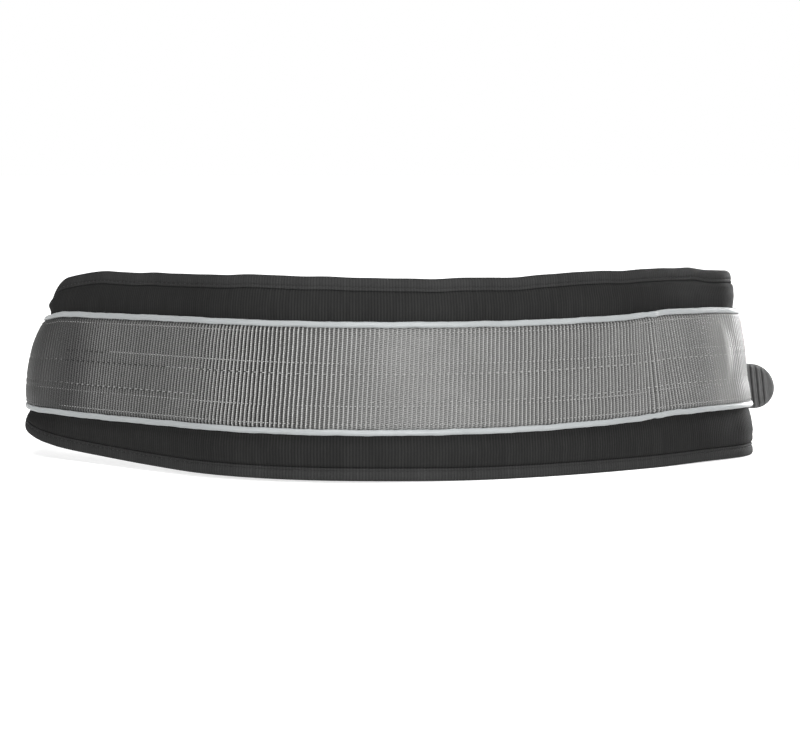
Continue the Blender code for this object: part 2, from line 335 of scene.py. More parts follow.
def grid_faces(index, closed=False):
    """Quads of a grid of vertex numbers; a closed grid joins its last column to its first."""
    if closed:
        index = np.hstack((index, index[:, :1]))
    corners = (index[:-1, :-1], index[1:, :-1], index[1:, 1:], index[:-1, 1:])
    return np.stack(corners, axis=-1).reshape(-1, 4).tolist()


def add_piece(name, points, faces, finish, strip=None, replaced=(), painted_shade_map=None):
    """A smooth piece of the belt from points in millimetres, with a strip map and a map of painted shade and
    light if given.
    """
    mesh = bpy.data.meshes.new(name)
    mesh.from_pydata((points.reshape(-1, 3) * MM).tolist(), [], faces)
    shape = bmesh.new()
    shape.from_mesh(mesh)
    bmesh.ops.recalc_face_normals(shape, faces=shape.faces[:])
    shape.to_mesh(mesh)
    shape.free()
    mesh.shade_smooth()
    corners = np.empty(len(mesh.loops), dtype=int)
    mesh.loops.foreach_get("vertex_index", corners)
    maps = {"strip": strip if strip is None else strip / STRIP_UNIT, "painted_shade_map": painted_shade_map}
    for map_name, values in maps.items():
        if values is not None:
            mesh.uv_layers.new(name=map_name).data.foreach_set("uv", values.reshape(-1, 2)[corners].ravel())
    mesh.materials.append(finish)
    piece = bpy.data.objects.new(name, mesh)
    bpy.context.scene.collection.objects.link(piece)
    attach(piece, BODY)
    if replaced:
        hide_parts(*replaced)
    return piece


def loft(runs, heights, depths):
    """Points, faces and strip map of a closed strip: one closed outline for each row of the arrays."""
    runs = np.broadcast_to(runs, heights.shape)
    points = belt_point(runs, heights, depths)
    index = np.arange(heights.size).reshape(heights.shape)
    faces = grid_faces(index, closed=True) + [index[0].tolist(), index[-1].tolist()]
    return points, faces, np.stack((runs, heights), axis=-1)


# Materials
class Finish:
    """A Principled material whose nodes are added by short calls."""

    def __init__(self, name, **sockets):
        self.material = bpy.data.materials.new(name)
        self.material.use_nodes = True
        self.tree = self.material.node_tree
        self.shader = self.tree.nodes["Principled BSDF"]
        for socket, value in sockets.items():
            self.shader.inputs[socket.replace("_", " ").title().replace("Ior", "IOR")].default_value = value

    def node(self, kind, *values, **options):
        """A node whose inputs take values or other nodes' outputs, in order."""
        node = self.tree.nodes.new(kind)
        for option, value in options.items():
            setattr(node, option, value)
        for socket, value in zip(node.inputs, values):
            self.put(value, socket)
        return node

    def put(self, value, socket):
        """Links an output to a socket, or sets the socket to a plain value."""
        if isinstance(value, bpy.types.NodeSocket):
            self.tree.links.new(value, socket)
        elif value is not None:
            socket.default_value = value

    def math(self, operation, *values):
        """The result of a math node."""
        return self.node("ShaderNodeMath", *values, operation=operation).outputs[0]

    def ramp(self, place, slope, start):
        """A straight slope over a place, from a start, held between 0 and 1."""
        options = {"operation": "MULTIPLY_ADD", "use_clamp": True}
        return self.node("ShaderNodeMath", place, slope, start, **options).outputs[0]

    def wave(self, place):
        """A cosine from 0 to 1 that peaks at every whole number."""
        return self.math("MULTIPLY_ADD", self.math("COSINE", self.math("MULTIPLY", place, TURN)), 0.5, 0.5)

    def strip(self):
        """The run and height of a place on the belt, in millimetres, from the piece's strip map."""
        split = self.node("ShaderNodeSeparateXYZ", self.node("ShaderNodeUVMap", uv_map="strip").outputs[0])
        return [self.math("MULTIPLY", split.outputs[axis], STRIP_UNIT) for axis in (0, 1)]

    def place(self):
        """The position in the belt's own frame, in millimetres."""
        local = self.node("ShaderNodeTexCoord").outputs["Object"]
        units = (1 / MM, 1 / MM, 1 / MM)
        return self.node("ShaderNodeVectorMath", local, units, operation="MULTIPLY").outputs[0]

    def noise(self, where, scale, detail=2.0):
        """Cloudy noise from 0 to 1, with a scale in blobs to the millimetre."""
        texture = self.node("ShaderNodeTexNoise")
        self.put(where, texture.inputs["Vector"])
        texture.inputs["Scale"].default_value = scale
        texture.inputs["Detail"].default_value = detail
        return texture.outputs[0]

    def stretched(self, run, height, run_scale, height_scale):
        """Noise in streaks, with a scale of its own along the run and up the height."""
        where = self.node(
            "ShaderNodeCombineXYZ",
            self.math("MULTIPLY", run, run_scale),
            self.math("MULTIPLY", height, height_scale),
        )
        return self.noise(where.outputs[0], 1.0)

    def colour(self, share, low, high):
        """A mix of two colours, put on the base colour."""
        mixer = self.node("ShaderNodeMix", data_type="RGBA")
        self.put(share, mixer.inputs[0])
        mixer.inputs[6].default_value = (*low, 1.0)
        mixer.inputs[7].default_value = (*high, 1.0)
        self.put(mixer.outputs[2], self.shader.inputs["Base Color"])

    def relief(self, height, depth):
        """A bump whose height from 0 to 1 stands for a depth in millimetres."""
        bump = self.node("ShaderNodeBump")
        bump.inputs["Strength"].default_value = 1.0
        bump.inputs["Distance"].default_value = depth * MM
        self.put(height, bump.inputs["Height"])
        self.put(bump.outputs[0], self.shader.inputs["Normal"])


def knit(name, low, high, rib_pitch, rib_share):
    """Black stretch cloth: faint ribs down its height, uneven streaks and a fine fuzzy grain."""
    finish = Finish(name, roughness=0.8, specular_ior_level=0.06)
    run, height = finish.strip()
    ribs = finish.wave(finish.math("DIVIDE", run, rib_pitch))
    streaks = finish.stretched(run, height, 0.6 / rib_pitch, 0.045)
    grain = finish.noise(finish.place(), 2.4, 4.0)
    clouds = finish.noise(finish.place(), 0.035)
    ribbed = finish.math("MULTIPLY", finish.math("MULTIPLY", ribs, streaks), rib_share)
    tone = finish.math("ADD", ribbed, finish.math("MULTIPLY", finish.math("ADD", grain, clouds), 0.35))
    finish.colour(tone, low, high)
    finish.relief(finish.math("ADD", finish.math("MULTIPLY", ribs, 0.5), grain), 0.16)
    return finish.material


RIB_PITCH = 2.2
RIB_CENTRE = 0.74
BEAD_PITCH = 1.05


def ribbed_webbing():
    """Woven webbing: smooth ribs with rows of slanting beads in the valleys between them, and painted shade
    and light on ridges and valleys.
    """
    finish = Finish("ribbed_webbing", roughness=0.4, specular_ior_level=0.22)
    run, height = finish.strip()
    phase = finish.math("DIVIDE", run, RIB_PITCH)
    across = finish.math("FRACT", phase)
    every_other = finish.math("MODULO", finish.math("FLOOR", phase), 2.0)
    ridge_share = finish.wave(finish.math("SUBTRACT", phase, RIB_CENTRE))
    slant = finish.math("MULTIPLY_ADD", across, 0.5, finish.math("MULTIPLY", every_other, 0.5))
    bead = finish.wave(finish.math("ADD", finish.math("DIVIDE", height, BEAD_PITCH), slant))
    uneven = finish.stretched(run, height, 0.9, 0.02)
    clouds = finish.noise(finish.place(), 0.05)
    # The weave opens on the near side and the far side, and closes round both corners
    past_right = finish.ramp(run, 0.04, -3.6)
    to_left = finish.ramp(run, -0.05, 26.0)
    past_left = finish.ramp(run, 0.03, -17.5)
    open_weave = finish.math("MULTIPLY_ADD", past_right, finish.math("MAXIMUM", to_left, past_left), 0.15)
    beaded = finish.math("MULTIPLY", finish.math("MULTIPLY_ADD", ridge_share, -0.7, 0.95), open_weave)
    top = finish.math("POWER", ridge_share, 3.0)
    # Painted shade and light: the rib tops take the ridge tone and the valleys the darker valley tone, a
    # painted shade between the ribs, and both tones change along the strap as painted light and shade
    painted_shade_map = finish.node("ShaderNodeSeparateXYZ", finish.node("ShaderNodeUVMap", uv_map="painted_shade_map").outputs[0])
    rise = finish.math("SUBTRACT", painted_shade_map.outputs[0], painted_shade_map.outputs[1])
    tone = finish.math("MULTIPLY_ADD", rise, top, painted_shade_map.outputs[1])
    speck = finish.math("MULTIPLY_ADD", finish.math("SUBTRACT", bead, 0.5), beaded, 0.72)
    speck = finish.math("MULTIPLY_ADD", finish.math("ADD", uneven, clouds), 0.28, speck)
    finish.colour(finish.math("MULTIPLY", tone, speck), (0.003, 0.003, 0.003), (0.3, 0.3, 0.294))
    finish.relief(finish.math("MULTIPLY", bead, beaded), 0.4)
    return finish.material


def piping_tape():
    """Light folded tape: a close weave and faint creases along it."""
    finish = Finish("piping_tape", roughness=0.42, sheen_weight=0.2, specular_ior_level=0.3)
    run, height = finish.strip()
    streaks = finish.stretched(run, height, 0.06, 1.6)
    grain = finish.noise(finish.place(), 2.0, 3.0)
    clouds = finish.noise(finish.place(), 0.08)
    tone = finish.math("MULTIPLY", finish.math("ADD", streaks, finish.math("ADD", grain, clouds)), 0.34)
    finish.colour(tone, (0.125, 0.132, 0.134), (0.225, 0.237, 0.239))
    finish.relief(finish.math("ADD", streaks, finish.math("MULTIPLY", grain, 0.4)), 0.18)
    return finish.material


def thread(name, low, high):
    """Twisted sewing thread."""
    finish = Finish(name, roughness=0.6, specular_ior_level=0.3)
    grain = finish.noise(finish.place(), 3.0, 2.0)
    finish.colour(grain, low, high)
    finish.relief(grain, 0.1)
    return finish.material


def rubber():
    """Moulded rubber: a fine dull grain, worn a little lighter here and there."""
    finish = Finish("ribbed_rubber", roughness=0.5, specular_ior_level=0.45)
    grain = finish.noise(finish.place(), 4.0, 3.0)
    clouds = finish.noise(finish.place(), 0.25, 3.0)
    finish.colour(clouds, (0.03, 0.03, 0.03), (0.075, 0.075, 0.075))
    finish.relief(grain, 0.05)
    return finish.material


def hook_tape():
    """Hook tape's woven ground."""
    finish = Finish("hook_tape", roughness=0.6, specular_ior_level=0.4)
    run, height = finish.strip()
    weave = finish.math(
        "MULTIPLY",
        finish.wave(finish.math("DIVIDE", run, 0.8)),
        finish.wave(finish.math("DIVIDE", height, 0.8)),
    )
    finish.colour(weave, (0.012, 0.012, 0.013), (0.045, 0.045, 0.047))
    finish.relief(weave, 0.2)
    return finish.material


# The band
CORNER_STEPS = 7
END_SIDE_STEPS = 14
RUN_STEP = 1.6
RING_STEP = 1.0
FIELD_INSET = 10.6
EDGE_WAVE = 0.3
CROWN = 0.6
SHOULDER_EASE = 4.0


def band_edges(run):
    """The heights of the band's lower and upper edges, with the slight waves that the cloth has."""
    lower, upper = row_at(BAND_EDGES, run)
    return lower, upper + EDGE_WAVE * drift(run, 61.0, 11)


def band_sides(inset, run_step):
    """The band's outline moved in by an inset: its lower, end, upper and start sides as (run, height) rows.

    Each side goes from the middle of one rounded corner to the middle of the next, and the lower and upper
    sides run forwards.
    """
    start = BAND_START + END_RADIUS
    end = BAND_END - END_RADIUS
    radius = END_RADIUS - inset
    low_turns = np.linspace(0.0, TURN / 8.0, CORNER_STEPS)
    high_turns = np.linspace(TURN / 8.0, TURN / 4.0, CORNER_STEPS)[:-1]
    straight = np.linspace(start, end, math.ceil((end - start) / run_step))
    run = np.concatenate((
        start - radius * np.cos(high_turns),
        straight,
        (end + radius * np.cos(high_turns))[::-1],
    ))
    rise = np.concatenate((
        radius * np.sin(high_turns),
        np.full(len(straight), radius),
        (radius * np.sin(high_turns))[::-1],
    ))
    lower, upper = band_edges(run)
    sides = [
        np.stack((run, lower + END_RADIUS - rise), axis=-1),
        np.stack((run, upper - END_RADIUS + rise), axis=-1),
    ]
    for middle, way in ((end, 1.0), (start, -1.0)):
        around = middle + way * radius * np.cos(low_turns)
        lower, upper = band_edges(around)
        foot = lower + END_RADIUS - radius * np.sin(low_turns)
        head = upper - END_RADIUS + radius * np.sin(low_turns)
        share = np.linspace(0.0, 1.0, END_SIDE_STEPS)[1:-1]
        upright = foot[0] + (head[0] - foot[0]) * share
        side_run = np.concatenate((around[::-1], np.full(len(upright), around[0]), around))
        side_height = np.concatenate((foot[::-1], upright, head))
        sides.append(np.stack((side_run, side_height), axis=-1))
    lower_side, upper_side, end_side, start_side = sides
    return lower_side, end_side, upper_side, start_side


def band_ring(inset, run_step):
    """The band's outline as one closed ring of (run, height) rows."""
    lower, end, upper, start = band_sides(inset, run_step)
    return np.concatenate((lower[:-1], end[:-1], upper[::-1][:-1], start[::-1][:-1]))


def ring_grid(lower_count, side_count):
    """Vertex numbers of a grid whose border is a ring, with new numbers inside."""
    last = lower_count - 1
    top = side_count - 1
    ring = 2 * (last + top)
    grid = np.full((lower_count, side_count), -1)
    grid[:, 0] = np.arange(lower_count)
    grid[-1, :] = last + np.arange(side_count)
    grid[:, -1] = last + top + np.arange(lower_count)[::-1]
    grid[0, :] = (2 * last + top + np.arange(side_count)[::-1]) % ring
    grid[1:-1, 1:-1] = ring + np.arange((last - 1) * (top - 1)).reshape(last - 1, top - 1)
    return grid


def fill_sides(sides):
    """(run, height) rows inside four sides, blended from them."""
    lower, end, upper, start = sides
    along = np.linspace(0.0, 1.0, len(lower))[:, None, None]
    up = np.linspace(0.0, 1.0, len(end))[None, :, None]
    across = lower[:, None] * (1.0 - up) + upper[:, None] * up
    ahead = start[None] * (1.0 - along) + end[None] * along
    foot = lower[0] * (1.0 - along) + lower[-1] * along
    head = upper[0] * (1.0 - along) + upper[-1] * along
    corners = foot * (1.0 - up) + head * up
    return (across + ahead - corners)[1:-1, 1:-1].reshape(-1, 2)


def padding(run, height):
    """How far the padding swells at places: between the hem and the strap, and not under the strap."""
    lower, upper = band_edges(run)
    inset = np.minimum(height - lower, upper - height)
    free = smooth((np.abs(strap_off(run, height)) - STRAP_REACH) / 6.0)
    swell = CROWN + 0.25 * drift(run + 0.4 * height, 47.0, 5)
    return swell * smooth((inset - 8.0) / 6.0) * free


def padded_band(finish):
    """The padded band: foam between two knit faces, thin where the hem wraps it and soft at its shoulder."""
    shoulder = (
        (1.2, 0.6),
        (6.3, 0.6),
        (6.6, 1.3),
        (7.0, 1.95),
        (7.6, 2.45),
        (8.4, 2.75),
        (9.4, 2.93),
        (FIELD_INSET, 3.0),
    )
    middle = -BODY_THICKNESS / 2.0
    sides = band_sides(FIELD_INSET, RUN_STEP)
    ring_size = len(band_ring(FIELD_INSET, RUN_STEP))
    grid = ring_grid(len(sides[0]), len(sides[1]))
    field = fill_sides(sides)
    strip = []
    depths = []
    faces = []
    for way in (1.0, -1.0):
        base = sum(len(part) for part in strip)
        for inset, half in shoulder[::-1]:
            ring = band_ring(inset, RUN_STEP)
            follows = 1.0 if way > 0 else smooth((FIELD_INSET - inset) / SHOULDER_EASE)
            strip.append(ring)
            depths.append(middle + way * half - follows * pushed_in(ring[:, 0], ring[:, 1]))
        strip.append(field)
        swell = padding(field[:, 0], field[:, 1])
        sunk = pushed_in(field[:, 0], field[:, 1])
        depths.append(middle + way * (BODY_THICKNESS / 2.0 + (swell - sunk if way > 0 else 0.7 * swell)))
        rings = base + np.arange(ring_size * len(shoulder)).reshape(len(shoulder), ring_size)
        faces += grid_faces(rings, closed=True)
        inner = np.where(grid < ring_size, base + grid, base + grid + ring_size * (len(shoulder) - 1))
        faces += grid_faces(inner)
    half_count = sum(len(part) for part in strip) // 2
    rim = ring_size * (len(shoulder) - 1) + np.arange(ring_size)
    faces += grid_faces(np.stack((rim, rim + half_count)), closed=True)
    strip = np.concatenate(strip)
    points = belt_point(strip[:, 0], strip[:, 1], np.concatenate(depths) + flare(strip[:, 0], strip[:, 1]))
    piece = add_piece("band_padding", points, faces, finish, strip, ["padded_band"])
    return piece


HEM_SEAM = 4.9
HEM_STITCH_PITCH = 3.6
HEM_STITCH_LENGTH = 2.7
HEM_STITCH_STAND = 1.42


def ring_lengths(points):
    """How far along a closed ring of points each one lies, and the ring's whole length."""
    steps = np.linalg.norm(np.roll(points, -1, axis=0) - points, axis=1)
    return np.concatenate(([0.0], np.cumsum(steps)[:-1])), steps.sum()


def edge_binding(finish):
    """The hem: a U of cloth over the band's edge, drawn in along its seam."""
    skin = HEM_THICKNESS / 2.0
    outer = (
        (6.50, 0.95, 0.0),
        (6.55, 1.35, 0.1),
        (6.40, 1.62, 0.3),
        (6.05, 1.80, 0.5),
        (5.55, 1.78, 0.8),
        (5.20, 1.55, 1.0),
        (4.90, 1.38, 1.0),
        (4.60, 1.55, 1.0),
        (4.20, 1.76, 0.8),
        (3.50, 1.86, 0.4),
        (2.60, 1.88, 0.2),
        (1.80, 1.78, 0.1),
        (1.10, 1.54, 0.0),
        (0.55, 1.16, 0.0),
        (0.18, 0.64, 0.0),
    )
    inner = tuple((inset, -half, pull) for inset, half, pull in outer[::-1])
    lining = ((0.95, -0.75, 0.0), (0.95, 0.75, 0.0))
    profile = outer + ((0.02, 0.0, 0.0),) + inner + lining
    middle = -BODY_THICKNESS / 2.0
    seam = band_ring(HEM_SEAM, RING_STEP)
    along, length = ring_lengths(belt_point(seam[:, 0], seam[:, 1], middle + skin))
    count = round(length / HEM_STITCH_PITCH)
    pucker = 0.5 - 0.5 * np.cos(TURN * along * count / length)
    ripple = drift(along, 17.0, 21)
    strip = []
    depths = []
    for inset, half, pull in profile:
        strip.append(band_ring(inset, RING_STEP))
        puff = 1.0 + pull * (0.10 * pucker + 0.03 * ripple)
        depths.append(middle + half * puff)
    strip = np.stack(strip, axis=1)
    depths = np.stack(depths, axis=1)
    points = belt_point(strip[..., 0], strip[..., 1], depths + band_stand(strip))
    index = np.arange(depths.size).reshape(depths.shape)
    faces = grid_faces(np.vstack((index, index[:1])), closed=True)
    return add_piece("band_hem", points, faces, finish, strip, ["edge_binding"])


# Threads
THREAD_SIDES = 6
THREAD_RINGS = np.array([-1.0, -0.72, -0.3, 0.3, 0.72, 1.0])


def stitches(centres, ahead, out, length, radius, sink):
    """Points and faces of stitches: each a short thread that comes up out of the cloth and dives back in."""
    out = out - ahead * (out * ahead).sum(axis=1, keepdims=True)
    out /= np.linalg.norm(out, axis=1, keepdims=True)
    side = np.cross(ahead, out)
    turns = np.arange(THREAD_SIDES) * TURN / THREAD_SIDES
    arch = sink * (THREAD_RINGS ** 2)
    thin = radius * np.sqrt(1.0 - 0.8 * THREAD_RINGS ** 4)
    forward = (THREAD_RINGS * length / 2.0)[:, None] + np.zeros(THREAD_SIDES)
    up = -arch[:, None] + thin[:, None] * np.sin(turns)
    across = thin[:, None] * np.cos(turns)
    shape = np.stack((forward, up, across), axis=-1)
    axes = np.stack((ahead, out, side), axis=1)
    points = centres[:, None, None] + np.einsum("rsk,nkc->nrsc", shape, axes)
    rings = len(THREAD_RINGS)
    index = np.arange(len(centres) * rings * THREAD_SIDES).reshape(len(centres), rings, THREAD_SIDES)
    faces = []
    for thread_index in index:
        faces += grid_faces(thread_index, closed=True)
        faces += [thread_index[0].tolist(), thread_index[-1].tolist()]
    return points.reshape(-1, 3), faces


def along_path(points, out, pitch, closed=False):
    """Evenly spaced centres on a path of points, with the directions ahead and out of the cloth there."""
    if closed:
        points = np.vstack((points, points[:1]))
        out = np.vstack((out, out[:1]))
    steps = np.linalg.norm(np.diff(points, axis=0), axis=1)
    places = np.concatenate(([0.0], np.cumsum(steps)))
    count = max(round(places[-1] / pitch), 1)
    centres = (np.arange(count) + 0.5) * places[-1] / count

    def pick(values, where):
        return np.stack([np.interp(where, places, values[:, axis]) for axis in range(3)], axis=-1)

    ahead = pick(points, centres + 0.4) - pick(points, centres - 0.4)
    ahead /= np.linalg.norm(ahead, axis=1, keepdims=True)
    return pick(points, centres), ahead, pick(out, centres)


def join(parts):
    """One list of points and faces from several."""
    points = []
    faces = []
    for part_points, part_faces in parts:
        base = sum(len(part) for part in points)
        points.append(part_points)
        faces += [[corner + base for corner in face] for face in part_faces]
    return np.concatenate(points), faces


def hem_stitches(finish):
    """The hem's seam, on both faces of the band."""
    parts = []
    seam = band_ring(HEM_SEAM, RING_STEP)
    for way in (1.0, -1.0):
        depth = band_stand(seam) - BODY_THICKNESS / 2.0 + way * HEM_STITCH_STAND
        points = belt_point(seam[:, 0], seam[:, 1], depth)
        centres, ahead, out = along_path(points, way * outwards(seam[:, 0]), HEM_STITCH_PITCH, closed=True)
        parts.append(stitches(centres, ahead, out, HEM_STITCH_LENGTH, 0.24, 0.3))
    points, faces = join(parts)
    return add_piece("hem_stitches", points, faces, finish)


# The strap
RIB_HEIGHT = 1.0
RIB_SHAPE = ((0.0, 0.0), (0.24, 0.08), (0.48, 0.0), (0.57, 0.6), (0.67, 0.95), (0.81, 0.95), (0.91, 0.6))

# (run, how far the ribs slant: run lost for each millimetre up)
RIB_SLANT = (
    (26.0, 0.0),
    (95.0, -0.10),
    (130.0, -0.13),
    (160.0, 0.02),
    (250.0, 0.06),
    (340.0, 0.05),
    (430.0, 0.09),
    (480.0, 0.06),
    (560.0, 0.0),
    (1000.0, 0.0),
)
BORDER_SEAM = 22.3

# How the ribs stand, as the bends close or open them, and the painted shade and light on them: (run, share of
# their full height, tone of the ridges, tone of the valleys between them). Both tones are painted shade and
# light, not the cloth's colour: the valleys are painted darker than the ridges as painted shade between the
# ribs, and both go darker or lighter along the strap where it turns away from or towards the lights
RIB_STAND_AND_PAINTED_SHADE = (
    (26.0, 0.25, 0.62, 0.59),
    (70.0, 0.25, 0.44, 0.40),
    (88.0, 0.30, 0.40, 0.35),
    (106.0, 0.55, 0.39, 0.21),
    (131.0, 0.90, 0.53, 0.12),
    (150.0, 1.00, 0.51, 0.13),
    (182.0, 1.00, 0.48, 0.14),
    (212.0, 1.00, 0.51, 0.15),
    (241.0, 0.95, 0.50, 0.23),
    (268.0, 0.85, 0.47, 0.31),
    (293.0, 0.80, 0.46, 0.35),
    (317.0, 0.85, 0.60, 0.22),
    (342.0, 1.00, 0.74, 0.11),
    (369.0, 1.10, 0.78, 0.03),
    (400.0, 1.10, 0.46, 0.02),
    (437.0, 1.00, 0.35, 0.02),
    (475.0, 0.80, 0.36, 0.03),
    (508.0, 0.40, 0.11, 0.05),
    (530.0, 0.30, 0.09, 0.07),
    (545.0, 0.30, 0.20, 0.17),
    (575.0, 0.30, 0.24, 0.22),
    (640.0, 0.80, 0.50, 0.20),
    (1000.0, 0.90, 0.50, 0.20),
)

# Rows of stitches along the webbing: (where it starts, where it ends, height off the strap's middle at both,
# pitch)
Seam = namedtuple("Seam", "start end first last pitch")
SEAMS = (
    Seam(30.0, 470.0, 6.4, 7.8, RIB_PITCH),
    Seam(30.0, 655.0, 2.1, 2.1, 2 * RIB_PITCH),
    Seam(30.0, 310.0, -11.3, -11.3, 2 * RIB_PITCH),
    Seam(400.0, 655.0, -10.4, -9.6, 2 * RIB_PITCH),
    Seam(30.0, 655.0, -13.2, -13.6, RIB_PITCH),
    Seam(672.0, 952.0, 19.4, 19.4, 2 * RIB_PITCH),
    Seam(672.0, 952.0, -19.4, -19.4, 2 * RIB_PITCH),
    Seam(30.0, STRAP_END - 3.0, BORDER_SEAM, BORDER_SEAM, RIB_PITCH),
    Seam(30.0, STRAP_END - 3.0, -BORDER_SEAM, -BORDER_SEAM, RIB_PITCH),
)

# Rows of gaps where the under thread shows between two stitches
GAPS = (
    Seam(424.0, 508.0, 2.1, 2.1, 2 * RIB_PITCH),
    Seam(474.0, 508.0, 7.2, 7.4, 2 * RIB_PITCH),
    Seam(420.0, 500.0, -10.6, -10.3, 2 * RIB_PITCH),
    Seam(356.0, 400.0, 2.1, 2.1, 2 * RIB_PITCH),
)


def seam_height(seam, run):
    """How far a seam lies from the strap's middle at runs."""
    share = np.clip((run - seam.start) / (seam.end - seam.start), 0.0, 1.0)
    return seam.first + (seam.last - seam.first) * share


# The strap's folds near the right corner: a bowed fold, a bulge in it, and a crease with a dent further on
FOLD_RUN = 83.0
FOLD_OFF = 4.0
FOLD_REACH = 21.0
CREASE_RUN = 145.0
DENT_RUN = 153.0
BULGE_RUN = 56.0


def fold(run, off, width):
    """How much of the bowed fold at the right corner passes at places, from 0 to 1."""
    bowed = FOLD_RUN + 3.0 * ((off - FOLD_OFF) / 18.0) ** 2
    return ridge(run, bowed, width) * ridge(off, FOLD_OFF, FOLD_REACH)


def wrinkles(run, off):
    """Low folds in the strap at runs and heights off its middle, in millimetres outwards."""
    crease = 0.9 * ridge(run, CREASE_RUN, 5.0) - 0.5 * ridge(run, DENT_RUN, 7.0)
    bulge = 1.5 * ridge(run, BULGE_RUN, 36.0) * smooth((off + 12.0) / 20.0)
    pinch = 1.05 * fold(run, off, 7.5)
    return crease + bulge + pinch + 0.18 * drift(run + 0.3 * off, 83.0, 31) - press(run, off)


def webbing_face(run, off):
    """The depth of the webbing's outer face without its ribs."""
    face = strap_lift(run) + WEBBING_THICKNESS + wrinkles(run, off)
    for seam in SEAMS:
        inside = (run > seam.start - 3.0) & (run < seam.end + 3.0)
        face = face - 0.22 * inside * ridge(off, seam_height(seam, run), 1.3)
    return face


def webbing(finish):
    """The webbing strap, with every rib a ridge of its own across it."""
    half = WEBBING_WIDTH / 2.0
    rows = np.array([
        -half + 0.05, -24.2, -23.4, -22.3, -21.2, -18.0, -14.8, -13.4, -12.2, -11.0, -9.8, -8.2, -4.0, 0.0,
        1.0, 2.1, 3.2, 5.0, 6.6, 8.2, 9.8, 13.0, 17.0, 21.2, 22.3, 23.4, 24.2, half - 0.05,
    ])
    back = np.array([half, 15.0, 0.0, -15.0, -half])
    ribs = np.arange(math.ceil(STRAP_START / RIB_PITCH), math.floor(STRAP_END / RIB_PITCH))
    rng = np.random.default_rng(3)
    rise = 1.0 + 0.12 * (rng.random(len(ribs)) - 0.5)
    share, height = np.array(RIB_SHAPE).T
    phase = (ribs[:, None] + share).ravel()
    crest = (rise[:, None] * height).ravel()
    off = np.concatenate((rows, back))
    run = phase[:, None] * RIB_PITCH + np.zeros(len(off))
    uneven = 0.07 * drift(off * 9.0 + 3.0 * np.floor(phase)[:, None], 173.0, 8)
    placed = run - off * row_at(RIB_SLANT, run)[0] + uneven
    edge = smooth((half - np.abs(off)) / 1.4)
    # The ridge and valley tones are painted shade and light along the strap
    height_share, ridge_painted_shading, valley_painted_shading = row_at(RIB_STAND_AND_PAINTED_SHADE, placed)
    groove = RIB_HEIGHT * height_share * (1.0 - crest[:, None]) * (0.35 + 0.65 * edge)
    front = webbing_face(placed, off) - groove - 0.9 * (1.0 - edge)
    rear = strap_lift(placed) - press(placed, off) + np.where(np.abs(off) < half, 0.0, 0.45)
    depths = np.where(np.arange(len(off)) < len(rows), front, rear)
    heights = strap_height(placed, off)
    points, faces, _ = loft(placed, heights, depths)
    strip = np.stack((run, np.broadcast_to(off, run.shape)), axis=-1)
    # A painted highlight along the bowed fold: both tones are lighter there
    painted_fold_highlight = 0.45 * fold(placed, off, 4.5)
    painted_shade_map = np.stack((ridge_painted_shading + painted_fold_highlight, valley_painted_shading + painted_fold_highlight), axis=-1)
    return add_piece("ribbed_strap", points, faces, finish, strip, ["webbing"], painted_shade_map)


def strap_stitches(finish):
    """The rows of stitches along the strap, and those across it where it starts, leaves the band and ends."""
    parts = []
    for seam in SEAMS:
        run = np.arange(seam.start, seam.end, 0.55)
        off = seam_height(seam, run)
        sunk = 0.12 + 0.2 * ridge(run, 527.0, 34.0)
        points = belt_point(run, strap_height(run, off), webbing_face(run, off) - sunk)
        centres, ahead, out = along_path(points, outwards(run), seam.pitch)
        parts.append(stitches(centres, ahead, out, 0.5 * seam.pitch, 0.24, 0.45))
    for run in (31.0, 653.0, STRAP_END - 10.0, STRAP_END - 3.5):
        off = np.arange(-21.5, 21.6, 0.5)
        points = belt_point(run, strap_height(run, off), webbing_face(run, off) - 0.1)
        centres, ahead, out = along_path(points, np.tile(outwards(run), (len(off), 1)), 2.6)
        parts.append(stitches(centres, ahead, out, 2.0, 0.22, 0.35))
    points, faces = join(parts)
    return add_piece("strap_stitches", points, faces, finish)


def thread_gaps(finish):
    """Short dark threads low in the cloth, between the stitches of the long rows."""
    parts = []
    for seam in GAPS:
        run = np.arange(seam.start, seam.end, 0.55)
        off = seam_height(seam, run)
        points = belt_point(run, strap_height(run, off), webbing_face(run, off) - 0.1)
        centres, ahead, out = along_path(points, outwards(run), seam.pitch)
        parts.append(stitches(centres, ahead, out, 0.55 * seam.pitch, 0.3, 0.3))
    points, faces = join(parts)
    return add_piece("thread_gaps", points, faces, finish)


def piping(name, side, finish, replaced):
    """The soft cord in folded tape along one edge of the strap, upper for a side of 1 and lower for -1."""
    turns = np.arange(12) * TURN / 12
    run = np.linspace(STRAP_START, STRAP_END, 620)
    reach = PIPING_WIDTH / 2.0 + 0.32
    centre = WEBBING_WIDTH / 2.0 + GAP + PIPING_WIDTH / 2.0 - 0.05
    rise = PIPING_THICKNESS / 2.0
    uneven = 1.0 + 0.035 * drift(run, 9.0, 41 + side)
    uneven = uneven + 0.06 * ridge(run, CREASE_RUN, 2.5) - 0.3 * ridge(run, 149.0, 1.8)
    closing = np.sqrt(np.clip(np.minimum(run - STRAP_START + 0.15, STRAP_END - run + 0.15) / 0.9, 0.0, 1.0))
    size = (uneven * closing)[:, None]
    square = np.sign(np.cos(turns)) * np.abs(np.cos(turns)) ** 0.75
    flat = np.sign(np.sin(turns)) * np.abs(np.sin(turns)) ** 0.75
    sway = 0.12 * drift(run, 31.0, 43 + side)
    off = side * centre + sway[:, None] + reach * size * square
    depths = (strap_lift(run) + rise + wrinkles(run, side * centre))[:, None] + rise * size * flat
    heights = strap_height(run[:, None], off)
    points, faces, strip = loft(run[:, None], heights, depths)
    return add_piece(name, points, faces, finish, strip, replaced)


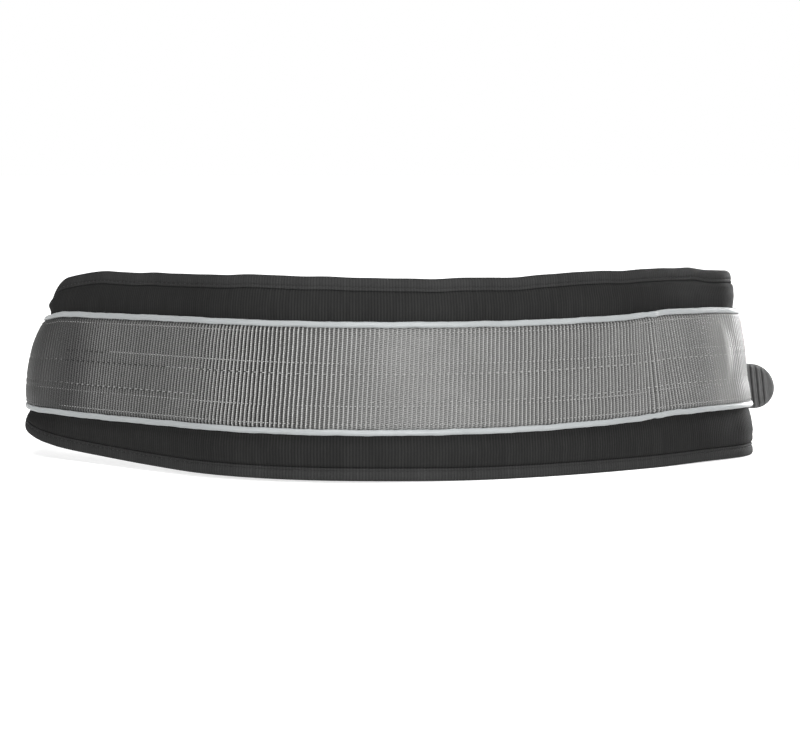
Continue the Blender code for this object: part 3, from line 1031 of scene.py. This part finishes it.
def frayed_ends(finish):
    """Loose fibres at the cut starts of both pipings."""
    rng = np.random.default_rng(17)
    parts = []
    for side, count in ((1.0, 7), (-1.0, 34)):
        for _ in range(count):
            off = side * (WEBBING_WIDTH / 2.0 + 1.3) + 2.2 * (rng.random() - 0.5)
            start = belt_point(STRAP_START + 1.5, strap_height(STRAP_START, off), 1.0 + 2.0 * rng.random())
            out = outwards(STRAP_START)
            back = np.array([-out[1], out[0], 0.0])
            way = back * (0.5 + rng.random()) + out * (1.6 * rng.random() - 0.1)
            way = way + np.array([0.0, 0.0, rng.random() - 0.5])
            way /= np.linalg.norm(way)
            centres = start + way * 1.3
            parts.append(stitches(centres[None], way[None], out[None], 3.0, 0.1, 0.5 * rng.random()))
    points, faces = join(parts)
    return add_piece("frayed_ends", points, faces, finish)


HOOKS_END = 734.0
HOOK_PITCH = 1.5


def hook_patch(finish):
    """The hook face inside the strap's free part, with its hooks where the band doesn't cover them."""
    half = HOOK_WIDTH / 2.0
    run = np.linspace(LIFT_END, STRAP_END - TAB_ROOT - GAP, 190)[:, None]
    outer = strap_lift(run) - GAP
    inner = outer - HOOK_THICKNESS
    off = np.array([-half, -half + 0.3, 0.0, half - 0.3, half, half, half - 0.3, 0.0, -half + 0.3, -half])
    back = np.array([0.3, 0.0, 0.0, 0.0, 0.3])
    depths = np.concatenate((inner + back, np.broadcast_to(outer, (len(run), 5)) - back[::-1]), axis=1)
    points, faces, strip = loft(run, strap_height(run, off), depths)
    add_piece("hook_ground", points, faces, finish, strip, ["hook_patch"])
    columns = np.arange(LIFT_END + HOOK_PITCH, HOOKS_END, HOOK_PITCH)
    places, offs = np.meshgrid(columns, np.arange(-half + 1.2, half - 1.0, HOOK_PITCH))
    places = (places + HOOK_PITCH / 2.0 * (np.arange(len(places)) % 2)[:, None]).ravel()
    offs = offs.ravel()
    centres = belt_point(places, strap_height(places, offs), strap_lift(places) - GAP - HOOK_THICKNESS - 0.1)
    out = -outwards(places)
    up = np.tile([0.0, 0.0, 1.0], (len(places), 1))
    points, faces = stitches(centres, up, out, 1.1, 0.13, 0.7)
    add_piece("hook_loops", points, faces, finish)


# Just short of a quarter turn, so that the tab's tip keeps a width
TIP_TURN = 1.5608


def pull_tab(finish):
    """The pull tab: a moulded tongue with a half-round end, ribbed across both faces."""
    radius = TAB_WIDTH / 2.0
    tip = STRAP_END + TAB_REACH
    root = STRAP_END - TAB_ROOT
    round_end = tip - radius + radius * np.sin(np.linspace(0.0, TIP_TURN, 60))
    run = np.concatenate((np.arange(root, tip - radius, 0.3), round_end))
    past = np.clip(run - (tip - radius), 0.0, radius)
    half = np.sqrt(radius * radius - past * past)
    share = np.sin(np.linspace(-1.0, 1.0, 27) * TURN / 4.0)
    off = half[:, None] * share
    spot = (run[:, None] + 0.09 * off - STRAP_END - 2.0) / TAB_RIB_PITCH
    ribbed = (spot > -0.5) & (spot < TAB_RIBS - 0.5)
    bar = smooth(1.55 * (0.5 + 0.5 * np.cos(TURN * spot)) - 0.15) * ribbed
    rim = np.minimum(radius - np.hypot(past[:, None], off), run[:, None] - root + 0.4)
    soft = np.sqrt(np.clip(rim / 0.8, 0.0, 1.0))
    core = TAB_THICKNESS / 2.0
    centre = strap_lift(STRAP_END) - GAP - core
    rise = TAB_RIB_HEIGHT * bar * smooth((rim - 0.5) / 1.1)
    thickness = core * (0.35 + 0.65 * soft) + rise
    height = strap_height(run[:, None], off)
    heights = np.concatenate((height, height[:, ::-1]), axis=1)
    depths = np.concatenate((centre + thickness, centre - thickness[:, ::-1]), axis=1)
    points, faces, strip = loft(run[:, None], heights, depths)
    return add_piece("ribbed_tab", points, faces, finish, strip, ["pull_tab"])


# The studio
CAMERA_PLACE = (0.0, -1.4615, 0.156)
CAMERA_PITCH = math.radians(4.35)
CAMERA_LENS = 125.55
CAMERA_SENSOR = 36.0
AMBIENT = 0.2
FLOOR_HALF = 30.0


def add_camera():
    """A camera at the photograph's viewing angle."""
    camera = bpy.data.cameras.new("photo_camera")
    camera.lens = CAMERA_LENS
    camera.sensor_width = CAMERA_SENSOR
    camera.sensor_fit = "HORIZONTAL"
    camera.clip_start = 0.05
    camera.clip_end = 50.0
    holder = bpy.data.objects.new("photo_camera", camera)
    holder.location = CAMERA_PLACE
    holder.rotation_euler = (TURN / 4.0 - CAMERA_PITCH, 0.0, 0.0)
    bpy.context.scene.collection.objects.link(holder)
    bpy.context.scene.camera = holder


def add_light(name, kind, place, aim, power, **options):
    """A light of a kind that faces a point."""
    light = bpy.data.lights.new(name, kind)
    light.energy = power
    for option, value in options.items():
        setattr(light, option, value)
    holder = bpy.data.objects.new(name, light)
    holder.location = place
    way = np.array(aim) - np.array(place)
    level = math.hypot(way[0], way[1])
    holder.rotation_euler = (math.atan2(level, -way[2]), 0.0, math.atan2(way[1], way[0]) - TURN / 4.0)
    bpy.context.scene.collection.objects.link(holder)


def add_world():
    """A white surround that lights the belt less than it shows, so that the lights shape the belt."""
    world = bpy.data.worlds.new("studio")
    world.use_nodes = True
    nodes = world.node_tree.nodes
    level = nodes.new("ShaderNodeMath")
    level.operation = "MULTIPLY_ADD"
    level.inputs[1].default_value = 1.0 - AMBIENT
    level.inputs[2].default_value = AMBIENT
    links = world.node_tree.links
    links.new(nodes.new("ShaderNodeLightPath").outputs["Is Camera Ray"], level.inputs[0])
    links.new(level.outputs[0], nodes["Background"].inputs["Strength"])
    nodes["Background"].inputs["Color"].default_value = (1.0, 1.0, 1.0, 1.0)
    bpy.context.scene.world = world


def add_studio():
    """A plain pale floor, plain soft light and the camera."""
    glow = {"emission_color": (1.0, 1.0, 1.0, 1.0), "emission_strength": 0.65}
    finish = Finish("pale_floor", roughness=0.9, specular_ior_level=0.1, **glow)
    finish.shader.inputs["Base Color"].default_value = (0.6, 0.6, 0.6, 1.0)
    mesh = bpy.data.meshes.new("floor")
    corners = [(x * FLOOR_HALF, y * FLOOR_HALF, 0.0) for x, y in ((-1, -1), (1, -1), (1, 1), (-1, 1))]
    mesh.from_pydata(corners, [], [(0, 1, 2, 3)])
    mesh.materials.append(finish.material)
    floor = bpy.data.objects.new("floor", mesh)
    bpy.context.scene.collection.objects.link(floor)
    add_world()
    bpy.context.scene.view_settings.view_transform = "Standard"
    add_light("sky_light", "SUN", (0.1, -1.0, 2.6), (0.0, 0.0, 0.0), 3.9, angle=math.radians(40.0))
    cone = {"spot_size": 2.0 * math.atan(0.33 / 2.4), "spot_blend": 1.0, "shadow_soft_size": 0.2}
    add_light("front_light", "SPOT", (0.62, -2.3, 0.45), (0.045, 0.0, 0.05), 370.0, **cone)
    add_light("left_light", "AREA", (-1.55, -1.55, 0.45), (-0.1, 0.0, 0.05), 22.0, size=0.8)
    add_light("right_light", "AREA", (0.98, 1.05, 0.3), (0.18, 0.0, 0.05), 24.0, size=0.5)
    add_camera()


def main():
    """Builds every piece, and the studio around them."""
    black = knit("black_knit", (0.0020, 0.0020, 0.0021), (0.0145, 0.0145, 0.0142), 1.55, 0.9)
    hem = knit("hem_knit", (0.003, 0.003, 0.0031), (0.03, 0.03, 0.0298), 1.55, 0.5)
    tape = piping_tape()
    hooks = hook_tape()
    padded_band(black)
    edge_binding(hem)
    hem_stitches(thread("hem_thread", (0.001, 0.001, 0.001), (0.004, 0.004, 0.004)))
    webbing(ribbed_webbing())
    strap_stitches(thread("strap_thread", (0.08, 0.08, 0.08), (0.26, 0.26, 0.255)))
    thread_gaps(thread("under_thread", (0.002, 0.002, 0.002), (0.01, 0.01, 0.01)))
    piping("piping_over", 1, tape, ["upper_piping"])
    piping("piping_under", -1, tape, ["lower_piping"])
    frayed_ends(thread("loose_fibre", (0.6, 0.62, 0.62), (0.85, 0.87, 0.87)))
    hook_patch(hooks)
    pull_tab(rubber())
    add_studio()


main()
